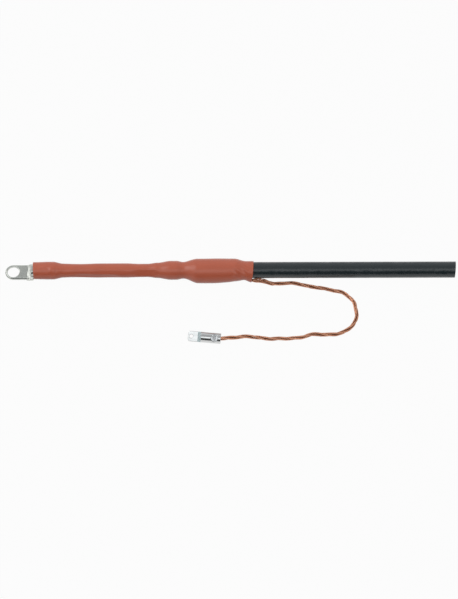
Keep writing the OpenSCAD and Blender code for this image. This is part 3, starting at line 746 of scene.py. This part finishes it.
def hand_marks(x, side):
    """Unevenness of a tube shrunk by hand: flats on the bared core, knuckles and a crease over the
    crimped barrel and its end, a dip and slanting folds where the bulge runs down to the lead."""
    a = np.radians(side)

    def near(place, spread):
        return np.exp(-(((side - place + 540) % 360 - 180) / spread) ** 2)

    def along(place, spread):
        return np.exp(-((x - place) / spread) ** 2)

    def between(start, full, fall, end):
        return rise(x, start, full) * (1 - rise(x, fall, end))

    core = between(73, 96, 181, 206)
    marks = 0.16 * core * np.cos(2 * a - 0.055 * (x - 61)) + 0.1 * core * np.cos(3 * a + 0.08 * x)
    for depth, place, half, start, end in ((1.0, 173, 27, 84, 156), (0.4, 133, 18, 112, 168),
                                           (1.0, 140, 30, 166, 212)):
        width = np.clip(1 - ((side - place) / half) ** 2, 0, 1)
        marks = marks - depth * width * between(start, start + 14, end - 14, end)
    for height, at_x, length, at_side, width in ((0.9, 54.2, 3.0, 114, 21), (0.6, 68, 2.8, 117, 20),
                                                 (0.3, 59.2, 1.2, 120, 16), (-0.8, 61.4, 1.2, 116, 26)):
        marks = marks + height * along(at_x, length) * near(at_side, width)
    neck = -0.25 * along(243, 5)
    dip = -0.95 * between(305, 319, 328, 336) * near(lead_side, 48)
    slanting = np.sin(0.57 * (x - 327.6) - 8.6 * (a - math.radians(115)))
    folds = 0.5 * near(124, 32) * slanting * between(308, 316, 331, 338)
    uneven = 0.14 * np.sin(0.11 * x + 2 * a) * between(246, 263, 301, 319)
    return marks + neck + dip + folds + uneven


tube_sides, tube_step = 128, 1.0
tube_x = np.concatenate([[tube_start, tube_start + cut_round],
                         np.arange(tube_start + 1, tube_end - 0.6, tube_step),
                         [tube_end - cut_round, tube_end]])
tube_side = np.arange(tube_sides) * 360 / tube_sides
grid_x, grid_side = np.meshgrid(tube_x, tube_side, indexing="ij")
from_lead = np.abs((grid_side - lead_side + 540) % 360 - 180)
tube_in = seat_r(grid_x) + lobe(grid_x, from_lead)
swell = (tube_swell * rise(grid_x, insulation_start + 0.17 * bared_l, insulation_start + 0.36 * bared_l)
         * (1 - rise(grid_x, stress_start - 0.25 * bared_l, stress_start - 0.11 * bared_l)))
to_cut = np.clip(np.minimum(grid_x - tube_start, tube_end - grid_x), 0, cut_round)
tube_out = (np.sqrt(tube_in ** 2 + wall_section) + swell + hand_marks(grid_x, grid_side)
            - cut_bevel * (cut_round - to_cut))
lip_back = lip_draw * rise(grid_x, tube_end - draw_l, tube_end) * np.exp(-(from_lead / draw_spread) ** 2)
cut_tilt = 1 - rise(grid_x, tube_start, tube_start + tilt_l) - rise(grid_x, tube_end - tilt_l, tube_end)
slant = cut_slant * np.cos(np.radians(grid_side - lead_side)) * cut_tilt - lip_back
tube_points = []
for radius, order in ((tube_out, 1), (tube_in, -1)):
    for i in range(len(tube_x))[::order]:
        tube_points += [on_cable(grid_x[i, k] + slant[i, k], radius[i, k], tube_side[k])
                        for k in range(tube_sides)]
tube_red = polymer("tube_red", (0.57, 0.132, 0.068), (0.51, 0.116, 0.060), smooth=0.30, rough=0.42,
                   cloud=70.0, pit=700.0, pit_depth=0.12, gloss=0.40)
tube_shader = tube_red.node_tree.nodes["Principled BSDF"]
tube_shader.inputs["Coat Weight"].default_value = 0.28
tube_shader.inputs["Coat Roughness"].default_value = 0.22
tube_faces = loop_faces(2 * len(tube_x), tube_sides, True)
tube = piece_from("shrunk_tube", tube_points, tube_faces, tube_red, sharp=50)
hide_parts("anti_tracking_tube")


# Earth lead: the twenty screen wires again, gathered at the tube's lip and twisted by hand into
# three loose strands. It lies on the table in one bend and ends in the earth lug.
# Painted shade, with some real oxide: the lead's copper turns dark within a few mm of the bundle's middle,
# standing in for the shade in the grooves between the strands.
lead_bore_l, shade_and_oxide_r, shade_and_oxide_full_r = 21, 2.4, 0.9
lead_inside_x, lead_inside_r, lead_exit_r = 332, 13.6, 14.3
earth_yaw = math.radians(-5.5)
lead_route = [
    (14, -13, -8.5), (19, -13.5, -10.5), (25, -15, -12.5), (30, -15.5, -14), (36, -14.5, -14.6),
    (44, -13.5, -14.6), (53, -13.5, -14.6), (64, -14.5, -14.6), (73, -17, -14.6), (81, -19.5, -14.6),
    (93, -20.5, -14.6), (104, -23.5, -14.6), (115, -25.5, -14.6), (124, -27.5, -14.6),
    (132, -31.5, -14.6), (138, -37, -14.6), (142, -43, -14.6), (145, -50, -14.6), (146, -59.5, -14.6),
    (146, -69, -14.6), (143, -76, -14.6), (138, -82, -14.6), (133, -87, -14.6), (125, -91.5, -14.6),
    (114, -94, -14.6), (103, -94.5, -14.6), (92, -93.5, -14.6), (83, -93.5, -14.6), (75, -96, -14.6),
    (66, -99, -14.6), (52, -100, -14.6), (35, -100, -14.6), (18, -100.5, -14.6), (7, -98.5, -14.6),
    (-5, -96.5, -14.3), (-16, -97.5, -13.3), (-27, -99.5, -12), (-37, -101, -10.6), (-46, -102, -10),
]
lead_exit = Vector(on_cable(tube_end, lead_exit_r, lead_side))
lead_line = [Vector(on_cable(lead_inside_x, lead_inside_r, lead_side)), lead_exit]
lead_line += [Vector((tube_end + x, y, axis_z + z)) for x, y, z in lead_route]
earth_mouth = lead_line[-1]
lead_line.append(earth_mouth - lead_bore_l * Vector((math.cos(earth_yaw), math.sin(earth_yaw), 0)))


def rounded_line(points, steps):
    """A smooth line drawn along a row of points, rounding their corners a little."""
    line = []
    last = len(points) - 1
    for i in range(last):
        a, b, c, d = (points[k] for k in (max(i - 1, 0), i, i + 1, min(i + 2, last)))
        for s in range(steps):
            t = s / steps
            line.append(((1 - t) ** 3 * a + (3 * t ** 3 - 6 * t ** 2 + 4) * b
                         + (1 + 3 * t + 3 * t ** 2 - 3 * t ** 3) * c + t ** 3 * d) / 6)
    return line + [points[-1]]


def twisted_lead_tree():
    """Geometry Nodes: copies of one line, offset into strands and wires that turn along it. Noise of a
    fixed seed loosens the lay. Inside the tube they are gathered, and just outside it they spread."""
    strand_count, strand_wires = 3, 6
    strand_waves, wire_waves = 55.0, 90.0
    strand_seed, wire_seed = 7.3, 3.7
    turn_slack, wire_lay, middle_share = 1.6, 1.2, 0.5
    fray_draw, gathered_share, lead_wire_sides = 0.1, 0.3, 7
    tree, given, result = new_tree(
        "twisted_lead", "Geometry",
        {"Line": "Geometry", "Wires": "Int", "Wire Diameter": "Float", "Lay": "Float",
         "Strand Radius": "Float", "Bundle Radius": "Float", "Gather Length": "Float", "Fray": "Float",
         "Fray Place": "Float", "Fray Length": "Float", "Looseness": "Float", "Metal": "Material"},
        {"Mesh": "Geometry"})

    def value(operation, *values):
        return combined(tree, operation, *values)

    def vector(operation, *values, scale=None):
        return vectors(tree, operation, *values, scale=scale)["Vector"]

    copies = tree.nodes.new("GeometryNodeDuplicateElements")
    copies.domain = "SPLINE"
    join(tree, (given["Line"], copies.inputs["Geometry"]), (given["Wires"], copies.inputs["Amount"]))
    index = copies.outputs["Duplicate Index"]
    length = tree.nodes.new("GeometryNodeSplineParameter").outputs["Length"]
    normal = tree.nodes.new("GeometryNodeInputNormal").outputs["Normal"]
    tangent = tree.nodes.new("GeometryNodeInputTangent").outputs["Tangent"]
    across = vector("CROSS_PRODUCT", tangent, normal)

    strand = value("MODULO", index, float(strand_count))
    place = value("FLOOR", value("DIVIDE", index, float(strand_count)))
    on_ring = value("LESS_THAN", index, float(strand_count * strand_wires))
    turns = value("DIVIDE", length, given["Lay"])

    def slack(waves, which, seed, detail):
        """Noise along the line, with a row of its own for each strand or wire."""
        at = tree.nodes.new("ShaderNodeCombineXYZ")
        noise = add_node(tree, "ShaderNodeTexNoise", Scale=1.0, Detail=detail)
        join(tree,
             (value("MULTIPLY", length, waves), at.inputs["X"]),
             (value("MULTIPLY", which, seed), at.inputs["Y"]),
             (at.outputs[0], noise.inputs["Vector"]))
        return value("MULTIPLY", value("SUBTRACT", noise.outputs["Fac"], 0.5), given["Looseness"])

    strand_slack = slack(strand_waves, strand, strand_seed, detail=1.0)
    wire_slack = slack(wire_waves, index, wire_seed, detail=0.0)
    strand_turn = value("ADD", value("MULTIPLY", strand, 2 * math.pi / strand_count),
                        value("MULTIPLY", turns, 2 * math.pi))
    strand_turn = value("ADD", strand_turn, value("MULTIPLY", strand_slack, turn_slack))
    wire_turn = value("ADD", value("MULTIPLY", place, 2 * math.pi / strand_wires),
                      value("MULTIPLY", turns, 2 * math.pi * wire_lay))
    wire_turn = value("ADD", wire_turn, value("MULTIPLY", strand, math.pi))
    strand_out = value("MULTIPLY", value("MULTIPLY", given["Bundle Radius"], on_ring),
                       value("ADD", strand_slack, 1.0))
    wire_share = value("MULTIPLY_ADD", on_ring, 1 - middle_share, middle_share)
    wire_out = value("MULTIPLY", value("MULTIPLY", given["Strand Radius"], wire_share),
                     value("ADD", wire_slack, 1.0))

    def turned(angle, radius):
        a = vector("SCALE", normal, scale=value("MULTIPLY", value("COSINE", angle), radius))
        b = vector("SCALE", across, scale=value("MULTIPLY", value("SINE", angle), radius))
        return vector("ADD", a, b)

    from_fray = value("DIVIDE", value("SUBTRACT", length, given["Fray Place"]), given["Fray Length"])
    near_fray = value("EXPONENT", value("MULTIPLY", value("MULTIPLY", from_fray, from_fray), -1.0))
    spread = value("MULTIPLY_ADD", near_fray, given["Fray"], 1.0)
    drawn_in = value("MULTIPLY_ADD", near_fray, -fray_draw, 1.0)
    bundle = vector("ADD", turned(strand_turn, value("MULTIPLY", strand_out, drawn_in)),
                    turned(wire_turn, value("MULTIPLY", wire_out, spread)))
    out_of_tube = value("MINIMUM", value("DIVIDE", length, given["Gather Length"]), 1.0)
    gathered = vector("SCALE", bundle,
                      scale=value("MULTIPLY_ADD", out_of_tube, 1 - gathered_share, gathered_share))
    core = add_node(tree, "GeometryNodeStoreNamedAttribute", Name="core")
    core.data_type = "FLOAT_VECTOR"
    core.domain = "POINT"
    moved = tree.nodes.new("GeometryNodeSetPosition")
    wire = tree.nodes.new("GeometryNodeGroup")
    wire.node_tree = drawn_wire
    wire.inputs["Sides"].default_value = lead_wire_sides
    join(tree,
         (copies.outputs["Geometry"], core.inputs["Geometry"]),
         (tree.nodes.new("GeometryNodeInputPosition").outputs[0], core.inputs["Value"]),
         (core.outputs["Geometry"], moved.inputs["Geometry"]),
         (gathered, moved.inputs["Offset"]),
         (moved.outputs["Geometry"], wire.inputs["Curve"]),
         (given["Wire Diameter"], wire.inputs["Wire Diameter"]),
         (given["Metal"], wire.inputs["Metal"]),
         (wire.outputs["Mesh"], result["Mesh"]))
    return tree


twisted_copper = metal("twisted_copper", (0.86, 0.44, 0.28), (0.60, 0.28, 0.17), polish=0.22, tarnish=0.4,
                       patch=260.0, draw=0.3)
tree = twisted_copper.node_tree
# Painted shade, with some real oxide: nearer the middle of the bundle the copper is turned dark, as shade in
# the grooves between the strands.
lead_core = tree.nodes.new("ShaderNodeAttribute")
lead_core.attribute_name = "core"
from_core = vectors(tree, "DISTANCE", own_place(tree), lead_core.outputs["Vector"])["Value"]
in_shade_and_oxide = faded(tree, from_core, shade_and_oxide_r * MM, shade_and_oxide_full_r * MM)
turned_to(twisted_copper, in_shade_and_oxide, tone=(0.24, 0.095, 0.055))

earth_lead = grown(curve_through("lead_line", [rounded_line(lead_line, 8)]), twisted_lead_tree(),
                   "twisted_lead", Wires=wire_count, Wire_Diameter=wire_d * MM, Lay=72 * MM,
                   Strand_Radius=0.78 * MM, Bundle_Radius=1.75 * MM, Gather_Length=10 * MM, Fray=1.15,
                   Fray_Place=19 * MM, Fray_Length=10 * MM, Looseness=0.4, Metal=twisted_copper)
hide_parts("earth_lead")


# Earth lug: turned from bar, milled flat for a palm with an M5 hole, bored for the lead and tinned,
# with a dull band where the palm begins. A shear bolt clamps the lead, and its head has broken off.
body_r, body_l = 7.5, 28
band_l, band_fall, band_dome, band_fade, band_past = 4.3, 0.13, 0.0244, 0.2, 0.6
palm_root_x, palm_tip_x = -20, -46.4
earth_palm_t, earth_palm_half, earth_palm_corner, earth_palm_round = 3.5, 7.24, 3.2, 0.45
earth_hole_x, earth_hole_r = -41.7, 2.65
earth_bore_l, earth_bore_r = 22, 3.25
bolt_x, bolt_r, bolt_hole_floor = -9, 5, 2.55
bolt_tear, bolt_break_r, bolt_sides = 0.04, 2, 64
earth_roll = math.radians(25)
earth_place = (Matrix.Translation(earth_mouth) @ Matrix.Rotation(earth_yaw, 4, "Z")
               @ Matrix.Rotation(earth_roll, 4, "X"))


def earth_lug_distance(p):
    """Distance to the earth lug: body, band and palm, less its hole, its bore and the bolt's hole."""
    x, y, z = p[..., 0], p[..., 1], p[..., 2]
    away = np.hypot(y, z)
    body = blend_max(away - body_r, x, soft=0.8)
    band = (away - body_r - (x + body_l) * band_fall) / math.hypot(1, band_fall)
    end = (band_dome * away ** 2 - body_l - band_l - x) / np.hypot(1, 2 * band_dome * away)
    body = blend_max(blend_max(body, band, soft=0.3), end, soft=0.4)
    palm_mid, palm_half_l = (palm_tip_x + palm_root_x) / 2, (palm_root_x - palm_tip_x) / 2
    outline = corner(np.abs(x - palm_mid) - palm_half_l, np.abs(y) - earth_palm_half, earth_palm_corner)
    body = blend_min(body, plate(outline, z, 0, earth_palm_t / 2, earth_palm_round), soft=0.5)
    body = blend_max(body, earth_hole_r - np.hypot(x - earth_hole_x, y), soft=0.5)
    body = blend_max(body, np.minimum(earth_bore_r - away, x + earth_bore_l), soft=1.0)
    bolt_hole = np.minimum(bolt_r - np.hypot(x - bolt_x, y), z - bolt_hole_floor)
    return blend_max(body, bolt_hole, soft=0.6)


tinned_brass = metal("tinned_brass", (0.68, 0.685, 0.68), (0.61, 0.615, 0.61), polish=0.08, tarnish=0.16,
                     patch=200.0, draw=0.5, bump=0.0000005)
tree = tinned_brass.node_tree
from_mouth = vectors(tree, "SUBTRACT", own_place(tree), earth_mouth * MM)["Vector"]
lug_way = (math.cos(earth_yaw), math.sin(earth_yaw), 0)
along_lug = vectors(tree, "DOT_PRODUCT", from_mouth, lug_way)["Value"]
band_end = body_l + band_l
on_band = combined(tree, "MULTIPLY",
                   faded(tree, along_lug, (band_fade - body_l) * MM, (-band_fade - body_l) * MM),
                   faded(tree, along_lug, (-band_past - band_end) * MM, (-band_fade - band_end) * MM))
turned_to(tinned_brass, on_band, tone=(0.67, 0.745, 0.75), rough=0.85)
earth_lug = formed_piece("earth_connector", "earth_lug", earth_lug_distance, low=(-48.43, -8.47, -8.53),
                         high=(0.8, 8.4, 8.4), cell=0.35, finish=tinned_brass, place=earth_place)

bolt_profile = [
    (0, 3.0), (3.95, 3.0), (4.95, 4.0), (4.95, 5.15), (4.85, 5.5), (4.6, 5.8), (4.3, 5.9), (3.6, 5.78),
    (2.9, 5.58), (2.6, 5.52), (2.2, 5.75), (1.9, 6.15), (1.65, 6.38), (0.9, 6.28), (0, 6.2),
]


def on_bolt(r, height, k):
    """Point k of a ring round the bolt's axis. The break in its middle is a little torn."""
    a = 2 * math.pi * k / bolt_sides
    torn = bolt_tear * math.sin(3 * k) if 0 < r < bolt_break_r else 0
    return earth_place @ Vector((bolt_x + r * math.cos(a), r * math.sin(a), height + torn))


bolt_points = [on_bolt(r, h, k) for r, h in bolt_profile[1:-1] for k in range(bolt_sides)]
bolt_faces = [face[::-1] for face in loop_faces(len(bolt_profile) - 2, bolt_sides, False)]
foot = len(bolt_points)
top_ring = foot - bolt_sides
bolt_points += [on_bolt(*bolt_profile[i], 0) for i in (0, -1)]
for k in range(bolt_sides):
    after = (k + 1) % bolt_sides
    bolt_faces += [(foot, after, k), (foot + 1, top_ring + k, top_ring + after)]
bolt_brass = metal("bolt_brass", (0.70, 0.71, 0.72), (0.55, 0.56, 0.57), polish=0.18, tarnish=0.3,
                   patch=300.0, draw=1.0, bump=0.000002)
shear_bolt = piece_from("sheared_bolt", bolt_points, bolt_faces, bolt_brass)
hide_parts("earth_lug_bolt")
